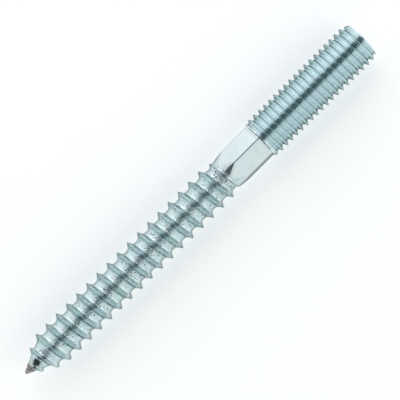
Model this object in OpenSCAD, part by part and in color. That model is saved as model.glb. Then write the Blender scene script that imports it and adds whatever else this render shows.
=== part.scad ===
// Hanger bolt: a wood screw at one end, a machine screw at the other and a hexagon
// between them for the spanner, rolled and pressed from one rod of zinc-plated steel.
// The bolt lies along X, from the point to the machine end, on the crests of its stud.

/* [Overall] */
// Length from the point to the machine end
bolt_length = 100; // [90:1:140]
// Flat sides in one turn of either thread
facets = 24; // [16:4:24]

/* [Machine thread] */
// Diameter over the crests
machine_d = 9.8; // [9.5:0.05:10.4]
// Distance from one crest to the next
machine_pitch = 1.5; // [1.25:0.05:1.75]
// Height of the ridge
machine_depth = 0.92; // [0.7:0.02:1]
// Length of the stud, from the hexagon to the machine end
stud_length = 30; // [20:1:45]
// Place of a crest on the +Y side, measured from the hexagon
machine_crest_at = 2.55; // [2:0.05:4]
// Length over which the first turn grows to its full height
machine_run_in = 0.7; // [0.4:0.1:2]
// Diameter of the flat end inside the chamfer
end_d = 8.26; // [7.6:0.02:8.8]
// Length of the end chamfer along the bolt
end_chamfer = 1.6; // [0.8:0.1:2.4]

/* [Hexagon] */
// Width across the flats
hex_flats = 7.8; // [7.65:0.05:8.2]
// Length of the hexagon with its cone
hex_length = 10.3; // [7:0.1:14]
// Turn of the upper corner towards +Y, in degrees
hex_turn = 7.7; // [-30:0.1:30]
// Diameter of the round blank, whose skin is left on the corners and the collar
blank_d = 8.95; // [8.6:0.05:9.3]
// Length of the collar between the hexagon and the machine thread
collar_length = 0.3; // [0.3:0.05:2]
// Slope of the cone that leads from the neck to the corners, in degrees
cone_slope = 13.7; // [10:0.1:30]

/* [Wood thread] */
// Diameter over the crests
wood_d = 9.1; // [8.4:0.05:9.4]
// Diameter of the core between the ridges
wood_core_d = 6.75; // [6.3:0.05:7.1]
// Distance from one crest to the next
wood_pitch = 3.03; // [2.8:0.01:3.6]
// Width of the flat on the crest
wood_crest_flat = 0.18; // [0.1:0.02:0.36]
// Lean of the flank that faces the point, in degrees
point_flank = 33; // [24:1:34]
// Lean of the flank that faces the stud, in degrees
stud_flank = 29; // [22:1:34]
// Radius of the hollow where a flank runs into the core
wood_fillet = 0.9; // [0.3:0.05:1.2]
// Place of the first full crest on the +Y side, measured from the point
wood_crest_at = 7.39; // [6:0.01:9]
// Length over which the ridge fades out, up to the end of its tail
wood_run_out = 3.3; // [2:0.1:5]
// Length of the tail that the ridge leaves on the neck
wood_tail = 0.9; // [0.4:0.1:2]

/* [Point and neck] */
// Length over which the point grows to the full core
point_length = 6.9; // [5:0.1:10]
// Diameter of the blunt tip
tip_d = 0.6; // [0.3:0.1:1]
// Distance from the tip to the start of the ridge
ridge_start = 1.6; // [1:0.1:3]
// Diameter of the plain neck beside the hexagon
neck_d = 7.54; // [7.3:0.02:7.6]
// Length of the plain neck
neck_length = 0.4; // [0.3:0.1:4]
// Length over which the core thickens towards the neck
core_swell = 1; // [0.5:0.1:3]

/* [Hidden] */
$fn = 96;

// Stations along the bolt, measured from the point
hex_end = bolt_length - stud_length;
hex_start = hex_end - hex_length;
neck_start = hex_start - neck_length;
tail_end = neck_start + wood_tail;
collar_end = hex_end + collar_length;

// Lengths that join overlap by this much, and a threaded one is this much thinner there
weld_run = 0.3;
weld_step = 0.12;

// Half angle of the machine thread
machine_flank = 30;

// Power of the ridge's fall towards its tail, which starts slowly and ends steeply
fade_power = 0.7;

// Wood thread between its crests: the feet of the straight flanks, the room left between them,
// and the largest share of that room which each hollow may take
wood_depth = (wood_d - wood_core_d) / 2;
point_foot = wood_crest_flat / 2 + wood_depth * tan(point_flank);
stud_foot = wood_crest_flat / 2 + wood_depth * tan(stud_flank);
root_room = wood_pitch - point_foot - stud_foot;
hollow_share = 0.45;

// Point of the hollow beside a flank, by its bend from the core in degrees
function hollow(foot, lean, bend) =
    let (
        spread = tan((90 - lean) / 2),
        r = min(wood_fillet, hollow_share * root_room / spread)
    )
    [foot + r * (spread - sin(bend)), r * (1 - cos(bend)) / wood_depth];

function mirrored(p) = [-p.x, p.y];

// Thread sections as [distance from the crest, share of the full height], from point to stud
wood_section = [
    [-point_foot - root_room / 2, 0],
    mirrored(hollow(point_foot, point_flank, (90 - point_flank) / 2)),
    mirrored(hollow(point_foot, point_flank, 90 - point_flank)),
    [-wood_crest_flat / 2, 1],
    [wood_crest_flat / 2, 1],
    hollow(stud_foot, stud_flank, 90 - stud_flank),
    hollow(stud_foot, stud_flank, (90 - stud_flank) / 2)
];
machine_crest_flat = machine_pitch / 8;
machine_foot = machine_crest_flat / 2 + machine_depth * tan(machine_flank);
machine_section = [
    [-machine_foot, 0],
    [-machine_crest_flat / 2, 1],
    [machine_crest_flat / 2, 1],
    [machine_foot, 0]
];

function mix(a, b, t) = a + (b - a) * t;

// How far x has gone from a to b, held between 0 and 1
function share(x, a, b) = max(0, min(1, (x - a) / (b - a)));

// Radius of the wood end at a station, for a share of the ridge's height
function wood_radius(s, height) =
    let (
        point = mix(tip_d, wood_core_d, share(s, 0, point_length)) / 2,
        swell = share(s, neck_start - core_swell, neck_start),
        core = mix(point, neck_d / 2 - weld_step, swell * swell),
        rise = sqrt(share(s, ridge_start, wood_crest_at)),
        fade = pow(share(s, tail_end, tail_end - wood_run_out), fade_power)
    )
    core + wood_depth * height * rise * fade;

// Radius of the stud at a station, for a share of the thread's height
function stud_radius(s, height) =
    mix(
        blank_d / 2 - weld_step,
        machine_d / 2 - machine_depth * (1 - height),
        share(s, collar_end, collar_end + machine_run_in)
    );

// Closed solid of a thread and its core from one station to another. The rows of its surface
// follow the helix, and are pressed together against the flat disc that closes each end.
module threaded_bar(section, pitch, crest_at, from, to, radius) {
    m = len(section);
    press = 0.25 * pitch;
    first_turn = 0.5 / facets;
    lead = crest_at + section[0].x;
    whole_section = concat(section, [section[0] + [pitch, 0]]);
    first = floor((from - lead) / pitch - first_turn) - 1;
    rows = m * (ceil((to - lead) / pitch - first_turn) - first);

    // Turns wound between a row and the end disc that it starts from
    function wound(row, turn) =
        row <= m ? row / m * turn : row / m - 1 + turn;

    function station(row, j) =
        let (
            turn = j / facets,
            turns = first + floor(row / m) + first_turn + turn,
            helix = crest_at + section[row % m].x + pitch * turns,
            after_start = max(helix, from + press * wound(row, turn))
        )
        min(after_start, to - press * wound(rows - row, 1 - turn));

    // Share of the ridge's height at a station, on the helix through column j
    function ridge(s, j) =
        let (past = s - lead - pitch * (first_turn + j / facets))
        lookup(section[0].x + past - pitch * floor(past / pitch), whole_section);

    // Index of a point: the rows of a turn meet in one point where the helix leaves a disc
    function index(row, j) =
        j == facets ? index(row + m, 0)
        : row > rows ? rows * facets
        : j == 0 && row <= m ? 0
        : row * facets + j;

    points = [
        for (row = [0 : rows])
            for (j = [0 : facets - 1])
                let (
                    s = station(row, j),
                    angle = 360 * (j + 0.5) / facets,
                    r = radius(s, ridge(s, j)) / cos(180 / facets)
                )
                [s, r * cos(angle), r * sin(angle)]
    ];
    sides = [
        for (row = [0 : rows - 1])
            for (j = [0 : facets - 1])
                let (
                    a = index(row, j),
                    b = index(row, j + 1),
                    c = index(row + 1, j + 1),
                    d = index(row + 1, j)
                )
                each [
                    if (a != d && d != c) [a, d, c],
                    if (a != b && b != c) [a, c, b]
                ]
    ];
    start_disc = [for (j = [0 : facets - 1]) index(0, j)];
    end_disc = [for (j = [facets - 1 : -1 : 0]) index(rows, j)];
    polyhedron(points, concat([start_disc], sides, [end_disc]), convexity = 20);
}

// Solid turned round the bolt's axis, from an outline of [radius, station] points
module turned(outline) {
    rotate([0, 90, 0])
        rotate_extrude()
            polygon(outline);
}

// Wood screw with its gimlet point
module wood_end() {
    threaded_bar(
        wood_section, wood_pitch, wood_crest_at,
        0, tail_end,
        function (s, height) wood_radius(s, height)
    );
}

// Neck, cone and hexagon, pressed from the round blank
module hex_drive() {
    neck_r = neck_d / 2;
    blank_r = blank_d / 2;
    cone_length = (blank_r - neck_r) / tan(cone_slope);
    intersection() {
        turned([
            [0, neck_start],
            [neck_r, neck_start],
            [neck_r, hex_start],
            [blank_r, hex_start + cone_length],
            [blank_r, hex_end],
            [0, hex_end]
        ]);
        translate([neck_start - weld_run, 0, 0])
            rotate([90 - hex_turn, 0, 0])
                rotate([90, 0, 90])
                    linear_extrude(hex_end - neck_start + weld_run)
                        circle(d = hex_flats / cos(30), $fn = 6);
    }
}

// Collar of the round blank, seated on a spigot inside the hexagon
module collar() {
    spigot_r = hex_flats / 2 - weld_step;
    turned([
        [0, hex_end - weld_run],
        [spigot_r, hex_end - weld_run],
        [spigot_r, hex_end],
        [blank_d / 2, hex_end],
        [blank_d / 2, collar_end],
        [0, collar_end]
    ]);
}

// Machine screw, cut to length and chamfered
module stud() {
    outer_r = machine_d;
    chamfer_rise = (machine_d - end_d) / 2 / end_chamfer;
    intersection() {
        threaded_bar(
            machine_section, machine_pitch, hex_end + machine_crest_at,
            collar_end - weld_run, bolt_length + machine_pitch,
            function (s, height) stud_radius(s, height)
        );
        turned([
            [0, hex_end],
            [outer_r, hex_end],
            [outer_r, bolt_length - (outer_r - end_d / 2) / chamfer_rise],
            [end_d / 2, bolt_length],
            [0, bolt_length]
        ]);
    }
}

module hanger_bolt() {
    color("#B4C3C4")
        translate([-bolt_length / 2, 0, machine_d / 2])
            union() {
                wood_end();
                hex_drive();
                collar();
                stud();
            }
}

hanger_bolt();
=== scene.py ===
import math

import bmesh
import bpy
import numpy as np
from mathutils import Matrix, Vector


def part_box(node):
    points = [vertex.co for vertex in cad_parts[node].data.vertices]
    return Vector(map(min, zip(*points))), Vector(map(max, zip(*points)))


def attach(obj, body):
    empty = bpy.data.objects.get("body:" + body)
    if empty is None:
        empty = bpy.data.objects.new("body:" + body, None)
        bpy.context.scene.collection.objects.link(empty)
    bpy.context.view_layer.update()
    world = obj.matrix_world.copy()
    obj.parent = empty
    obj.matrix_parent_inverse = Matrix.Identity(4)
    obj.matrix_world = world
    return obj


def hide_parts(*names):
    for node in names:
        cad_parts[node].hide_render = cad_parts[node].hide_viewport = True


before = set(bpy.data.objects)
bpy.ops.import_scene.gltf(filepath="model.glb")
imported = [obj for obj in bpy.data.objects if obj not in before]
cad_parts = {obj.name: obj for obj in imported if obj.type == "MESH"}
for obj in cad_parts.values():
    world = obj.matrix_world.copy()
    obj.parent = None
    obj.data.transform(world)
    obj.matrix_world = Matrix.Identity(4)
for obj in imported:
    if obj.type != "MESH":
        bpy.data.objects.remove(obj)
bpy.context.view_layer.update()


# Rod: the steel blank that the whole bolt is rolled and pressed from, thick at the stud and
# thinner at the wood screw. Stations are millimetres from the point, and turns go round the
# axis from +Y towards +Z. Its skin is kept as rows of points, with a column on each corner line.
MM = 0.001
COLUMNS = 96
low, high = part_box("hanger_bolt")
axis_z = (low.z + high.z) / 2
bolt_length = (high.x - low.x) / MM
stud_r = (high.z - low.z) / 2 / MM
stud_length = 30
hex_length = 10.3
hex_end = bolt_length - stud_length
hex_start = hex_end - hex_length
blank_r = 4.475
neck_r = 3.77
cone_slope = math.tan(math.radians(13.7))
hex_turn = 7.7
corner_turn = (90 - hex_turn) / 360
column_turn = corner_turn + np.arange(COLUMNS) / COLUMNS

skin_points = []
skin_ridge = []
skin_lay = []
skin_faces = []


def smooth_step(x, a, b):
    """0 where x is at a and 1 where it is at b, with a smooth change between."""
    t = np.clip((x - a) / (b - a), 0, 1)
    return t * t * (3 - 2 * t)


def soft_min(a, b, blend):
    """The lower of two heights, with the edge where they meet rounded."""
    return (a + b - np.sqrt((a - b) ** 2 + blend**2)) / 2


def soft_max(a, b, blend):
    """The higher of two heights, with the hollow where they meet rounded."""
    return -soft_min(-a, -b, blend)


def points_so_far():
    return sum(len(stretch) for stretch in skin_points)


def add_skin(stations, turns, radii, ridge, lay, faces):
    """Adds a stretch of the bolt's skin.

    Ridge is 0 in a root and 1 on a crest, and lay is the distance from the nearest crest.
    """
    angle = 2 * math.pi * turns
    points = np.empty(stations.shape + (3,))
    points[..., 0] = low.x + stations * MM
    points[..., 1] = radii * MM * np.cos(angle)
    points[..., 2] = axis_z + radii * MM * np.sin(angle)
    base = points_so_far()
    skin_points.append(points.reshape(-1, 3))
    skin_ridge.append(ridge.reshape(-1))
    skin_lay.append(lay.reshape(-1))
    skin_faces.extend([base + i for i in face] for face in faces)


# Wood screw: a coarse right-hand ridge that flat dies roll up out of the rod. It rises on a
# gimlet point, has uneven flanks and wide fillets, and its last turn is drawn up into a low lip
# that dies out along a shoulder on the neck.
wood_end = hex_start + 0.5
wood_end_r = neck_r + cone_slope * (wood_end - hex_start)
wood_pitch = 3.03
wood_crest_at = 7.39
wood_core_r = 3.345
wood_depth = 1.205
wood_crest_flat = 0.14
wood_crest_round = 0.05
wood_fillet = 0.42
point_lean = math.tan(math.radians(32))
stud_lean = math.tan(math.radians(27))
wood_section = [
    -1.35, -1.17, -1.02, -0.88, -0.75, -0.62, -0.47, -0.3, -0.16, -0.08, -0.03,
    0.03, 0.08, 0.16, 0.28, 0.42, 0.56, 0.68, 0.8, 0.94, 1.12, 1.4,
]


def helix_rows(section, pitch, crest_at, start, end, drawn=lambda helix: helix):
    """Lays rows of points along a thread, pressed together against the ring at each end.

    The section gives the distance of each row of a turn from the crest. Drawn moves the stations
    of the true helix to where the dies leave them. Gives the stations, the distance of each point
    from the nearest crest of the true helix, and the faces.
    """
    per_turn = len(section)
    press = 0.2 * pitch
    lead = crest_at + section[0]
    first = math.floor((start - lead) / pitch - column_turn[0]) - 1
    rows = per_turn * (math.ceil((end - lead) / pitch - column_turn[0]) - first)
    row = np.arange(rows + 1)[:, None]
    turn = np.arange(COLUMNS)[None, :] / COLUMNS

    def wound(r, t):
        """Turns between a row and the ring that it starts from."""
        return np.where(r <= per_turn, r / per_turn * t, r / per_turn - 1 + t)

    turns = first + row // per_turn + column_turn
    helix = crest_at + np.array(section)[row % per_turn] + pitch * turns
    stations = np.maximum(drawn(helix), start + press * wound(row, turn))
    stations = np.minimum(stations, end - press * wound(rows - row, 1 - turn))
    off = stations - crest_at - pitch * column_turn
    off = off - pitch * np.round(off / pitch)

    def index(r, c):
        """Number of a point: a row goes on in the next turn, and the first and last are rings."""
        if c == COLUMNS:
            r, c = r + per_turn, 0
        if r > rows:
            r = rows
        if c == 0 and r <= per_turn:
            r = 0
        return r * COLUMNS + c

    faces = []
    for r in range(rows):
        for c in range(COLUMNS):
            corners = [index(r, c), index(r, c + 1), index(r + 1, c + 1), index(r + 1, c)]
            corners = list(dict.fromkeys(corners))
            if len(corners) > 2:
                faces.append(corners)
    return stations, off, faces


def wood_ridge(off, top):
    """Height of a ridge above the core, at a distance from its crest."""
    lean = np.where(off < 0, point_lean, stud_lean)
    flank = top - (np.abs(off) - wood_crest_flat / 2) / lean
    flank = soft_min(flank, top, wood_crest_round)
    return soft_max(flank, 0, wood_fillet * top / wood_depth)


# The lip leaves the last crest underneath the bolt and goes once round, closer than the thread.
last_crest = 58.14
lip_pitch = 2.18
lip_start_turn = 0.75
lip_start_height = 0.866
lip_power = 0.65
after = np.mod(column_turn - lip_start_turn, 1)
crest_before = last_crest + wood_pitch * (after - 1)
lip = last_crest + lip_pitch * after


def last_turn_drawn(helix):
    """Moves the rows of the last turn on to the lip, and keeps those after it as close."""
    share = np.maximum(helix - crest_before, 0) / wood_pitch
    first_part = np.minimum(share, 1) * (lip - crest_before - wood_pitch)
    return helix + first_part - np.maximum(share - 1, 0) * (wood_pitch - lip_pitch)


stations, off, faces = helix_rows(
    wood_section, wood_pitch, wood_crest_at, 0, wood_end, last_turn_drawn
)
on_last_turn = stations > crest_before + wood_pitch / 2
off = np.where(on_last_turn, stations - crest_before, off)

ridge_start = 1.5
rise_power = 0.38
fade_start = 56.9
fade_power = 0.7
rise = np.clip((stations - ridge_start) / (wood_crest_at - ridge_start), 0, 1) ** rise_power
fade = np.clip((wood_end - (stations - off)) / (wood_end - fade_start), 0, 1) ** fade_power
top = wood_depth * rise * fade
height = wood_ridge(off, top)
lip_top = lip_start_height * (1 - after) ** lip_power
lip_height = wood_ridge(stations - lip, lip_top)
on_lip = on_last_turn & (lip_height > height)
off = np.where(on_lip, stations - lip, off)
top = np.where(on_lip, lip_top, top)
height = np.where(on_lip, lip_height, height)

tip_r = 0.28
tip_round = 0.22
gimlet_slope = math.tan(math.radians(24.3))
gimlet_round = 0.35
core = soft_min(tip_r + gimlet_slope * stations, wood_core_r, gimlet_round)
core = core * np.sqrt(np.clip(stations / tip_round, 0, 1))

# The core steps up to the neck at a shoulder. It follows the lip as far as the cone, and goes
# back to the last crest at the end of the turn.
shoulder_limit = hex_start + 0.05
shoulder_return = 0.8
shoulder_foot = 0.12
shoulder_top = 0.1
hollow_depth = 0.07
hollow_start = 0.5
hollow_end = 0.1
shoulder = np.minimum(lip, shoulder_limit)
shoulder = shoulder + (last_crest - shoulder) * smooth_step(after, shoulder_return, 1)
neck = neck_r + cone_slope * np.maximum(stations - hex_start, 0)
stepped = smooth_step(stations, shoulder - shoulder_foot, shoulder + shoulder_top)
rod = core + (neck - core) * stepped
hollow = hollow_depth * smooth_step(stations, shoulder - hollow_start, shoulder - hollow_end)
radii = soft_max(core + height, rod, hollow)
radii = np.where(stations >= wood_end, wood_end_r, radii)
turns = np.broadcast_to(column_turn, stations.shape)

# A ridge that is lower than this takes the finish of a root.
lowest_ridge = 0.3
add_skin(stations, turns, radii, height / np.maximum(top, lowest_ridge), off, faces)

# The point is rolled a little off the axis.
point_bend = 0.14
bend_start = 7.5
bend_end = 4.5
bent = smooth_step(stations, bend_start, bend_end).reshape(-1)
skin_points[-1][:, 1] += point_bend * MM * bent


# Hexagon: six flats pressed into the round blank for the spanner. The corners keep the blank's
# skin, a cone leads up to them from the neck, and the flats end in a steep run-out at the collar.
flat_r = 3.9
corner_r = 4.43
corner_round = 0.025
cone_end = hex_start + 3.3
cone_round = 0.03
run_out_start = hex_end - 0.35
run_out_end = hex_end + 0.05
run_out_rise = 0.7
collar_end = hex_end + 0.1


def ring_faces(rings):
    """Faces between rings of points that each go once round the rod."""
    faces = []
    for r in range(rings - 1):
        for c in range(COLUMNS):
            beside = (c + 1) % COLUMNS
            ring = r * COLUMNS
            faces.append([ring + c, ring + beside, ring + COLUMNS + beside, ring + COLUMNS + c])
    return faces


# Columns of one side, in degrees past its corner.
half_side = [0, 0.9, 1.5, 1.9, 2.6, 6, 13, 21.5]
side = half_side + [30] + [60 - a for a in half_side[:0:-1]]
side_turn = np.array([corner_turn + (60 * k + a) / 360 for k in range(6) for a in side])
hex_rings = np.concatenate(
    [
        np.linspace(wood_end, cone_end, 40),
        np.linspace(cone_end, run_out_start, 10)[1:],
        np.linspace(run_out_start, run_out_end, 12)[1:],
        np.linspace(run_out_end, collar_end, 5)[1:],
    ]
)
stations = np.repeat(hex_rings[:, None], COLUMNS, axis=1)

# The columns crowd towards the corners, except at the two ends, where they meet the threads'.
crowd_start = wood_end + 0.25
crowd_end = hex_end - 0.05
crowded = smooth_step(stations, wood_end, crowd_start)
crowded = crowded - smooth_step(stations, crowd_end, collar_end)
turns = column_turn + (side_turn - column_turn) * crowded
past_corner = np.mod(turns - corner_turn, 1 / 6) * 360
flats = flat_r / np.cos(np.radians(past_corner - 30))
flats = flats + run_out_rise * smooth_step(stations, run_out_start, run_out_end)
blank = soft_min(neck_r + cone_slope * (stations - hex_start), corner_r, cone_round)
radii = soft_min(flats, blank, corner_round)
radii[0] = wood_end_r
radii[hex_rings > hex_end] = blank_r
plain = np.zeros(stations.shape)
add_skin(stations, turns, radii, plain, plain, ring_faces(len(hex_rings)))


# Stud: a fine right-hand metric thread rolled on the thick end of the blank. Its first turn
# grows out of the collar, and the chamfer of the sheared end cuts its last turns.
machine_pitch = 1.5
machine_crest_at = hex_end + 2.55
machine_depth = 0.92
machine_crest_flat = 0.13
machine_crest_round = 0.05
machine_root_round = 0.12
machine_lean = math.tan(math.radians(30))
machine_run_in = 1.3
end_r = 4.13
end_chamfer = 1.6
chamfer_round = 0.03
machine_section = [
    -0.66, -0.58, -0.5, -0.35, -0.2, -0.12, -0.06,
    0.06, 0.12, 0.2, 0.35, 0.5, 0.58, 0.66,
]

stations, off, faces = helix_rows(
    machine_section, machine_pitch, machine_crest_at, collar_end, bolt_length
)
height = machine_depth - (np.abs(off) - machine_crest_flat / 2) / machine_lean
height = soft_min(height, machine_depth, machine_crest_round)
height = soft_max(height, 0, machine_root_round)
grown = np.sqrt(np.clip((stations - collar_end) / machine_run_in, 0, 1))
thread = blank_r + (stud_r - machine_depth + height - blank_r) * grown
chamfer = end_r + (stud_r - end_r) / end_chamfer * (bolt_length - stations)
radii = soft_min(thread, chamfer, chamfer_round)
radii = np.where(stations <= collar_end, blank_r, radii)
turns = np.broadcast_to(column_turn, stations.shape)
add_skin(stations, turns, radii, height / machine_depth * grown, off, faces)

end_rings = np.array([1, 0.985, 0.9, 0.6, 0.3])[:, None]
end_shape = (len(end_rings), COLUMNS)
plain = np.zeros(end_shape)
add_skin(
    np.full(end_shape, bolt_length),
    np.broadcast_to(column_turn, end_shape),
    radii[-1] * end_rings,
    plain,
    plain,
    ring_faces(len(end_rings)),
)
inner_ring = points_so_far() - COLUMNS
skin_faces.append([inner_ring + c for c in range(COLUMNS)])


# Finished bolt: the lengths above are one piece of steel, so their skins are joined. It is
# zinc plated in a barrel and dipped in a bluish clear passivate, which is deepest on the rolled
# threads. The dies leave pits and scale in the wide roots, and the plating is thin on the point.
joining_gap = 1e-7
bolt_mesh = bpy.data.meshes.new("bolt_steel")
bolt_mesh.from_pydata(np.concatenate(skin_points).tolist(), [], skin_faces)
for name, values in {"ridge": skin_ridge, "lay": skin_lay}.items():
    layer = bolt_mesh.attributes.new(name, "FLOAT", "POINT")
    layer.data.foreach_set("value", np.concatenate(values).astype(np.float32))
joined = bmesh.new()
joined.from_mesh(bolt_mesh)
bmesh.ops.remove_doubles(joined, verts=joined.verts, dist=joining_gap)
spare = [v for v in joined.verts if not v.link_faces]
bmesh.ops.delete(joined, geom=spare, context="VERTS")
bmesh.ops.recalc_face_normals(joined, faces=joined.faces)
for face in joined.faces:
    face.smooth = True
joined.to_mesh(bolt_mesh)
joined.free()
bolt = bpy.data.objects.new("bolt_steel", bolt_mesh)
bpy.context.scene.collection.objects.link(bolt)


def add_node(tree, kind, inputs, **settings):
    """Adds a shader node. An input is a number, a colour or the socket that feeds it."""
    node = tree.nodes.new("ShaderNode" + kind)
    for name, value in settings.items():
        setattr(node, name, value)
    for name, value in inputs.items():
        if isinstance(value, bpy.types.NodeSocket):
            tree.links.new(value, node.inputs[name])
        else:
            node.inputs[name].default_value = value
    return node


def math_node(tree, operation, *values):
    return add_node(tree, "Math", dict(enumerate(values)), operation=operation).outputs[0]


def times(tree, a, b):
    return math_node(tree, "MULTIPLY", a, b)


def plus_times(tree, base, value, factor):
    """The base plus the value times the factor."""
    return math_node(tree, "MULTIPLY_ADD", value, factor, base)


def ramp(tree, value, a, b):
    """0 where the value is at a and 1 where it is at b, with a smooth change between."""
    inputs = {"Value": value, "From Min": a, "From Max": b}
    return add_node(tree, "MapRange", inputs, interpolation_type="SMOOTHSTEP").outputs[0]


def mix_colour(tree, factor, a, b, blend="MIX"):
    inputs = {"Factor": factor, "A": a, "B": b}
    return add_node(tree, "Mix", inputs, data_type="RGBA", blend_type=blend).outputs["Result"]


def noise(tree, vector, scale, detail):
    inputs = {"Vector": vector, "Scale": scale, "Detail": detail}
    return add_node(tree, "TexNoise", inputs).outputs[0]


def stretched(tree, vector, factors):
    return add_node(tree, "VectorMath", {0: vector, 1: factors}, operation="MULTIPLY").outputs[0]


def distance(tree, vector, middle):
    node = add_node(tree, "VectorMath", {0: vector, 1: middle}, operation="DISTANCE")
    return node.outputs["Value"]


zinc = bpy.data.materials.new("zinc_plate")
zinc.use_nodes = True
tree = zinc.node_tree
shader = tree.nodes["Principled BSDF"]
shader.inputs["Metallic"].default_value = 1.0
shader.inputs["Specular Tint"].default_value = (0.34, 0.37, 0.36, 1)

# Lengths of the bolt, and the flanks, roots and crests of its threads.
place = add_node(tree, "TexCoord", {}).outputs["Object"]
along, sideways, upward = add_node(tree, "SeparateXYZ", {"Vector": place}).outputs
ridge = add_node(tree, "Attribute", {}, attribute_name="ridge").outputs["Fac"]
lay = add_node(tree, "Attribute", {}, attribute_name="lay").outputs["Fac"]
neck_x = low.x + hex_start * MM
collar_x = low.x + hex_end * MM
on_point = ramp(tree, along, low.x + 2.6 * MM, low.x + 1.6 * MM)
on_wood = ramp(tree, along, neck_x + 0.5 * MM, neck_x - 0.3 * MM)
by_neck = ramp(tree, along, neck_x - 3.0 * MM, neck_x - 1.6 * MM)
on_stud = ramp(tree, along, collar_x - 0.1 * MM, collar_x + 0.1 * MM)
by_collar = ramp(tree, along, collar_x - 0.25 * MM, collar_x - 0.1 * MM)
by_collar = math_node(tree, "SUBTRACT", by_collar, on_stud)
on_end = ramp(tree, along, high.x - 0.01 * MM, high.x - 0.004 * MM)
above_root = ramp(tree, ridge, 0.1, 0.3)
slope = math_node(tree, "SUBTRACT", above_root, ramp(tree, ridge, 0.8, 0.95))
in_root = times(tree, on_wood, ramp(tree, ridge, 0.3, 0.1))
on_flank = times(tree, on_wood, above_root)
on_crest = times(tree, on_wood, ramp(tree, ridge, 0.7, 0.92))

# Passivate on the wood screw: cloudy and deep on the crests. The flanks that face the stud and the
# feet of the ridges on that side are painted paler, as painted light.
clouds = ramp(tree, noise(tree, place, scale=420.0, detail=3.0), 0.35, 0.65)
root_green = (0.62, 0.775, 0.775, 1)
root_blue = (0.675, 0.775, 0.82, 1)
wood = mix_colour(tree, clouds, root_green, root_blue)
# Painted light: the flanks that face the stud are painted paler.
stud_facing_pale = (0.82, 0.915, 0.925, 1)
stud_facing_light = times(tree, slope, ramp(tree, lay, 0.1, 0.25))
wood = mix_colour(tree, stud_facing_light, wood, stud_facing_pale)
# Painted light: the foot of each ridge on its stud side is painted paler.
wood_foot_highlight = (0.73, 0.85, 0.86, 1)
foot_highlight = times(tree, ramp(tree, ridge, 0.02, 0.08), ramp(tree, ridge, 0.5, 0.2))
foot_highlight = times(tree, foot_highlight, ramp(tree, lay, 0.15, 0.3))
wood = mix_colour(tree, foot_highlight, wood, wood_foot_highlight)
crest_green = (0.455, 0.605, 0.61, 1)
crest_blue = (0.515, 0.65, 0.69, 1)
crest = mix_colour(tree, clouds, crest_green, crest_blue)

# Passivate on the stud: bluer. Its flanks are painted paler than the crests, as painted light,
# with a painted highlight at the foot of the flanks that face the stud and a painted highlight
# line beside the crest.
stud_green = (0.465, 0.625, 0.665, 1)
stud_blue = (0.515, 0.66, 0.705, 1)
stud = mix_colour(tree, clouds, stud_green, stud_blue)
# Painted light: the flanks are painted paler than the crests, and palest on the side that faces
# the stud.
point_flank_light = (0.60, 0.745, 0.775, 1)
stud_flank_light = (0.80, 0.93, 0.95, 1)
painted_flank_light = mix_colour(tree, ramp(tree, lay, -0.1, 0.1), point_flank_light, stud_flank_light)
stud = mix_colour(tree, ramp(tree, ridge, 0.95, 0.8), stud, painted_flank_light)
# Painted highlight at the foot of each flank that faces the stud.
stud_foot_highlight = (0.92, 0.975, 0.98, 1)
foot_highlight = times(tree, ramp(tree, ridge, 0.5, 0.25), ramp(tree, lay, 0.15, 0.3))
stud = mix_colour(tree, foot_highlight, stud, stud_foot_highlight)
stud_root = (0.53, 0.675, 0.71, 1)
stud = mix_colour(tree, ramp(tree, ridge, 0.08, 0.03), stud, stud_root)
# Painted highlight: a pale line beside each crest on its stud side, which is also rougher.
crest_highlight_pale = (0.66, 0.80, 0.83, 1)
crest_highlight = times(tree, ramp(tree, lay, 0.03, 0.09), ramp(tree, lay, 0.22, 0.14))
crest_highlight = times(tree, crest_highlight, on_stud)
stud = mix_colour(tree, crest_highlight, stud, crest_highlight_pale)

# The pressed flats are even in colour, and both threads have faint green and lilac tinges.
flat_green = (0.65, 0.757, 0.765, 1)
flat_blue = (0.68, 0.782, 0.803, 1)
flat = mix_colour(tree, clouds, flat_green, flat_blue)
colour = mix_colour(tree, on_wood, flat, wood)
colour = mix_colour(tree, on_stud, colour, stud)
colour = mix_colour(tree, on_crest, colour, crest)
green_tinge = (0.962, 1.0, 0.975, 1)
lilac_tinge = (0.982, 0.99, 1.017, 1)
tinge = ramp(tree, noise(tree, place, scale=330.0, detail=2.0), 0.38, 0.62)
tinge = mix_colour(tree, tinge, green_tinge, lilac_tinge)
tinged = plus_times(tree, on_wood, on_stud, 0.5)
colour = mix_colour(tree, tinged, colour, tinge, "MULTIPLY")

# Fine lines along the ridges: dark ones that the dies draw, kept mostly off the flanks that face
# the stud, and bright ones that are painted glints.
lines_per_mm = plus_times(tree, 5.0, on_stud, 3.0)
line_breaks = 1600.0
turn_change = 500.0
inputs = {
    "X": times(tree, lay, lines_per_mm),
    "Y": times(tree, sideways, line_breaks),
    "Z": times(tree, upward, line_breaks),
}
line_place = add_node(tree, "CombineXYZ", inputs).outputs[0]
line_turn = times(tree, along, turn_change)
inputs = {"Vector": line_place, "W": line_turn, "Scale": 1.0, "Detail": 2.0}
lines = add_node(tree, "TexNoise", inputs, noise_dimensions="4D").outputs[0]
dark_line = (0.33, 0.43, 0.43, 1)
dark_share = 0.55
streak = times(tree, on_flank, ramp(tree, lines, 0.5, 0.4))
streak = times(tree, streak, plus_times(tree, 1.0, stud_facing_light, -0.8))
colour = mix_colour(tree, times(tree, streak, dark_share), colour, dark_line)
# Painted glints: bright flecks along the flanks.
glint_white = (0.9, 0.96, 0.97, 1)
glint_share = 0.4
glint = times(tree, on_flank, ramp(tree, lines, 0.54, 0.64))
colour = mix_colour(tree, times(tree, glint, glint_share), colour, glint_white)

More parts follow.
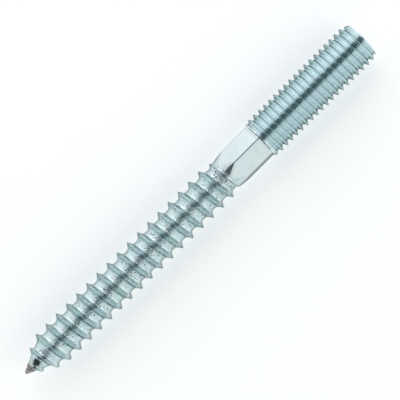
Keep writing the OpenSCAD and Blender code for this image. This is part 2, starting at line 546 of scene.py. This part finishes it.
# Pits in the roots of the wood screw, in patches and most of all beside the neck.
waves = noise(tree, place, scale=2600.0, detail=4.0)
cells = add_node(tree, "TexVoronoi", {"Vector": place, "Scale": 2900.0})
chance = add_node(tree, "SeparateColor", {"Color": cells.outputs["Color"]}).outputs[0]
pit = plus_times(tree, cells.outputs["Distance"], chance, 0.5)
pit = math_node(tree, "ADD", pit, waves)
pit = plus_times(tree, pit, by_neck, -0.12)
patches = noise(tree, place, scale=450.0, detail=2.0)
patches = plus_times(tree, patches, by_neck, 0.08)
pit = times(tree, ramp(tree, pit, 1.05, 0.85), ramp(tree, patches, 0.42, 0.56))
pit = times(tree, pit, in_root)
pit_black = (0.15, 0.175, 0.175, 1)
colour = mix_colour(tree, pit, colour, pit_black)

# Painted highlight on the steep run-out step at the collar end of the flats, and a painted shadow
# under it on the upper corner.
# Painted highlight on the run-out step.
step_highlight = (0.86, 0.94, 0.95, 1)
colour = mix_colour(tree, by_collar, colour, step_highlight)
grain = noise(tree, place, scale=1500.0, detail=3.0)
# Painted shadow under the run-out step on the upper corner.
step_shadow_middle = (collar_x, 0.8 * MM, high.z - 0.6 * MM)
step_shadow = distance(tree, place, step_shadow_middle)
step_shadow = plus_times(tree, 0.1, ramp(tree, step_shadow, 2.4 * MM, 1.3 * MM), 0.9)
step_shadow = times(tree, step_shadow, ramp(tree, grain, 0.46, 0.56))
step_shadow = times(tree, step_shadow, by_collar)
step_shadow_black = (0.12, 0.14, 0.14, 1)
colour = mix_colour(tree, step_shadow, colour, step_shadow_black)

# Dull bloom of the passivate on the cone.
bloom_middle = (neck_x + 0.9 * MM, 0.3 * MM, axis_z + 3.9 * MM)
bloom_share = 0.65
bloom = distance(tree, place, bloom_middle)
bloom = plus_times(tree, bloom, waves, 0.8 * MM)
bloom = times(tree, ramp(tree, bloom, 2.0 * MM, 0.5 * MM), bloom_share)
bloom_grey = (0.72, 0.69, 0.68, 1)
colour = mix_colour(tree, bloom, colour, bloom_grey)

# Thin plating towards the point, scratched steel on it, and a spot of black scale behind it.
thin_grey = (0.44, 0.50, 0.485, 1)
thin_share = 0.6
thin = times(tree, ramp(tree, along, low.x + 4.4 * MM, low.x + 2.0 * MM), thin_share)
colour = mix_colour(tree, thin, colour, thin_grey)
scratch_place = stretched(tree, place, (0.12, 1.0, 1.0))
scratches = ramp(tree, noise(tree, scratch_place, scale=4000.0, detail=2.0), 0.43, 0.62)
steel_brown = (0.12, 0.105, 0.095, 1)
steel_bright = (0.72, 0.70, 0.65, 1)
bare = mix_colour(tree, scratches, steel_brown, steel_bright)
colour = mix_colour(tree, on_point, colour, bare)
scale_middle = (low.x + 3.55 * MM, 0.15 * MM, axis_z + 1.8 * MM)
mill_scale = distance(tree, place, scale_middle)
mill_scale = plus_times(tree, mill_scale, waves, 1.2 * MM)
mill_scale = ramp(tree, mill_scale, 1.6 * MM, 1.2 * MM)
scale_black = (0.05, 0.075, 0.07, 1)
colour = mix_colour(tree, mill_scale, colour, scale_black)

# Straight marks of the shear on the end.
shear_place = stretched(tree, place, (1.0, 1.0, 0.06))
shear = noise(tree, shear_place, scale=3000.0, detail=4.0)
shear_dark = (0.47, 0.57, 0.585, 1)
shear_pale = (0.70, 0.795, 0.81, 1)
shear_colour = mix_colour(tree, ramp(tree, shear, 0.35, 0.65), shear_dark, shear_pale)
colour = mix_colour(tree, on_end, colour, shear_colour)
tree.links.new(colour, shader.inputs["Base Color"])

# Gloss: bright on the flats and the stud, duller on the wood screw and dull in its pits and scale.
flat_rough = 0.13
wood_rough = 0.07
scale_rough = 0.3
# The painted highlight line beside the stud's crests is rougher too.
crest_highlight_rough = 0.15
shear_rough = 0.12
rough = plus_times(tree, flat_rough, on_wood, wood_rough)
rough = plus_times(tree, rough, math_node(tree, "MAXIMUM", pit, mill_scale), scale_rough)
rough = plus_times(tree, rough, crest_highlight, crest_highlight_rough)
rough = plus_times(tree, rough, on_end, shear_rough)
tree.links.new(rough, shader.inputs["Roughness"])

# Fine relief, in thousandths of a millimetre.
MICRON = 1e-6
root_waves = 125.0
neck_waves = 110.0
stud_waves = 25.0
flank_lines = 70.0
stud_lines = 20.0
grain_height = 3.0
shear_height = 60.0
pit_depth = 15.0
wave_height = times(tree, in_root, plus_times(tree, root_waves, by_neck, neck_waves))
wave_height = plus_times(tree, wave_height, on_stud, stud_waves)
line_height = times(tree, on_stud, times(tree, slope, stud_lines))
line_height = plus_times(tree, line_height, on_flank, flank_lines)
relief = times(tree, waves, wave_height)
relief = plus_times(tree, relief, lines, line_height)
relief = plus_times(tree, relief, grain, grain_height)
relief = plus_times(tree, relief, shear, times(tree, on_end, shear_height))
relief = plus_times(tree, relief, pit, -pit_depth)
bump = add_node(tree, "Bump", {"Strength": 1.0, "Distance": MICRON, "Height": relief})
tree.links.new(bump.outputs[0], shader.inputs["Normal"])

bolt_mesh.materials.append(zinc)
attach(bolt, "root")
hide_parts("hanger_bolt")


# Floor: a wide sheet of matt white card that the bolt lies on. Only the camera and reflections
# see its faint glow, which keeps it white.
floor_half = 3
floor_glow = 0.39
floor_corners = [(-1, -1), (1, -1), (1, 1), (-1, 1)]
floor_mesh = bpy.data.meshes.new("floor")
floor_mesh.from_pydata(
    [(floor_half * x, floor_half * y, low.z) for x, y in floor_corners], [], [(0, 1, 2, 3)]
)
floor = bpy.data.objects.new("floor", floor_mesh)
bpy.context.scene.collection.objects.link(floor)
card = bpy.data.materials.new("white_card")
card.use_nodes = True
tree = card.node_tree
shader = tree.nodes["Principled BSDF"]
shader.inputs["Base Color"].default_value = (0.93, 0.93, 0.93, 1)
shader.inputs["Roughness"].default_value = 0.9
shader.inputs["Specular IOR Level"].default_value = 0.0
shader.inputs["Emission Color"].default_value = (1, 1, 1, 1)
rays = add_node(tree, "LightPath", {}).outputs
seen = math_node(tree, "MAXIMUM", rays["Is Camera Ray"], rays["Is Glossy Ray"])
seen = math_node(tree, "MAXIMUM", seen, rays["Is Transmission Ray"])
tree.links.new(times(tree, seen, floor_glow), shader.inputs["Emission Strength"])
floor_mesh.materials.append(card)


# Light: a tent of white cloth round the bolt, brightest low down on its +Y side, with a dark gap
# overhead where the camera looks in, and a soft lamp beside the stud. The cloth's light is given
# by its angle in degrees from straight up, towards +Y.
tent = bpy.data.worlds.new("light_tent")
bpy.context.scene.world = tent
tent.use_nodes = True
tree = tent.node_tree
tree.nodes.clear()
cloth_light = {
    -85: (0.74, 0.82, 0.84),
    -50: (0.95, 0.965, 0.955),
    -32: (0.89, 0.905, 0.895),
    -22: (0.80, 0.82, 0.815),
    -12: (0.1, 0.14, 0.155),
    20: (0.1, 0.14, 0.155),
    29: (0.95, 0.95, 0.97),
    60: (0.98, 0.98, 1.0),
    82: (1.1, 1.1, 1.12),
}
direction = add_node(tree, "TexCoord", {}).outputs["Generated"]
x, y, z = add_node(tree, "SeparateXYZ", {"Vector": direction}).outputs
across = math_node(tree, "ARCTAN2", y, z)
inputs = {"Value": across, "From Min": -math.pi / 2, "From Max": math.pi / 2}
cloth = add_node(tree, "ValToRGB", {"Fac": add_node(tree, "MapRange", inputs).outputs[0]})
stops = cloth.color_ramp.elements
while len(stops) < len(cloth_light):
    stops.new(0.5)
for stop, (angle, shade) in zip(stops, cloth_light.items()):
    stop.position = (angle + 90) / 180
    stop.color = (*shade, 1)
both_ends_gain = 0.05
stud_end_gain = 0.24
strength = plus_times(tree, 1.0, times(tree, x, x), both_ends_gain)
strength = plus_times(tree, strength, x, stud_end_gain)
tent_light = add_node(tree, "Background", {"Color": cloth.outputs[0], "Strength": strength})
add_node(tree, "OutputWorld", {"Surface": tent_light.outputs[0]})

lamp_size = 0.16
lamp_glow = 0.3
lamp_lean = math.radians(-55)
lamp_along = 0.11
lamp_distance = 0.2
lamp_data = bpy.data.lights.new("soft_lamp", "AREA")
lamp_data.shape = "RECTANGLE"
lamp_data.size = lamp_size
lamp_data.size_y = lamp_size
lamp_data.energy = lamp_glow * math.pi * lamp_size**2
lamp = bpy.data.objects.new("soft_lamp", lamp_data)
lamp_place = Matrix.Translation((lamp_along, 0, lamp_distance))
lamp.matrix_world = Matrix.Rotation(lamp_lean, 4, "X") @ lamp_place
bpy.context.scene.collection.objects.link(lamp)


# Camera: a long lens that looks straight down on the bolt, turned so that the stud points to
# the upper right. Its place is measured in the pixels of a picture 400 wide.
image_width = 400
focal_px = 1850
px_per_mm = 4.738
point_to_middle_px = 246
axis_to_middle_px = 0.347
slant = math.radians(44.9)
camera_data = bpy.data.cameras.new("camera")
camera_data.sensor_width = 36
camera_data.lens = focal_px / image_width * camera_data.sensor_width
camera = bpy.data.objects.new("camera", camera_data)
bpy.context.scene.collection.objects.link(camera)
camera_place = (
    low.x + point_to_middle_px / px_per_mm * MM,
    axis_to_middle_px / px_per_mm * MM,
    axis_z + focal_px / px_per_mm * MM,
)
camera_turn = Matrix.Rotation(-slant, 4, "Z")
camera.matrix_world = Matrix.Translation(camera_place) @ camera_turn
bpy.context.scene.camera = camera
bpy.context.scene.view_settings.view_transform = "Standard"
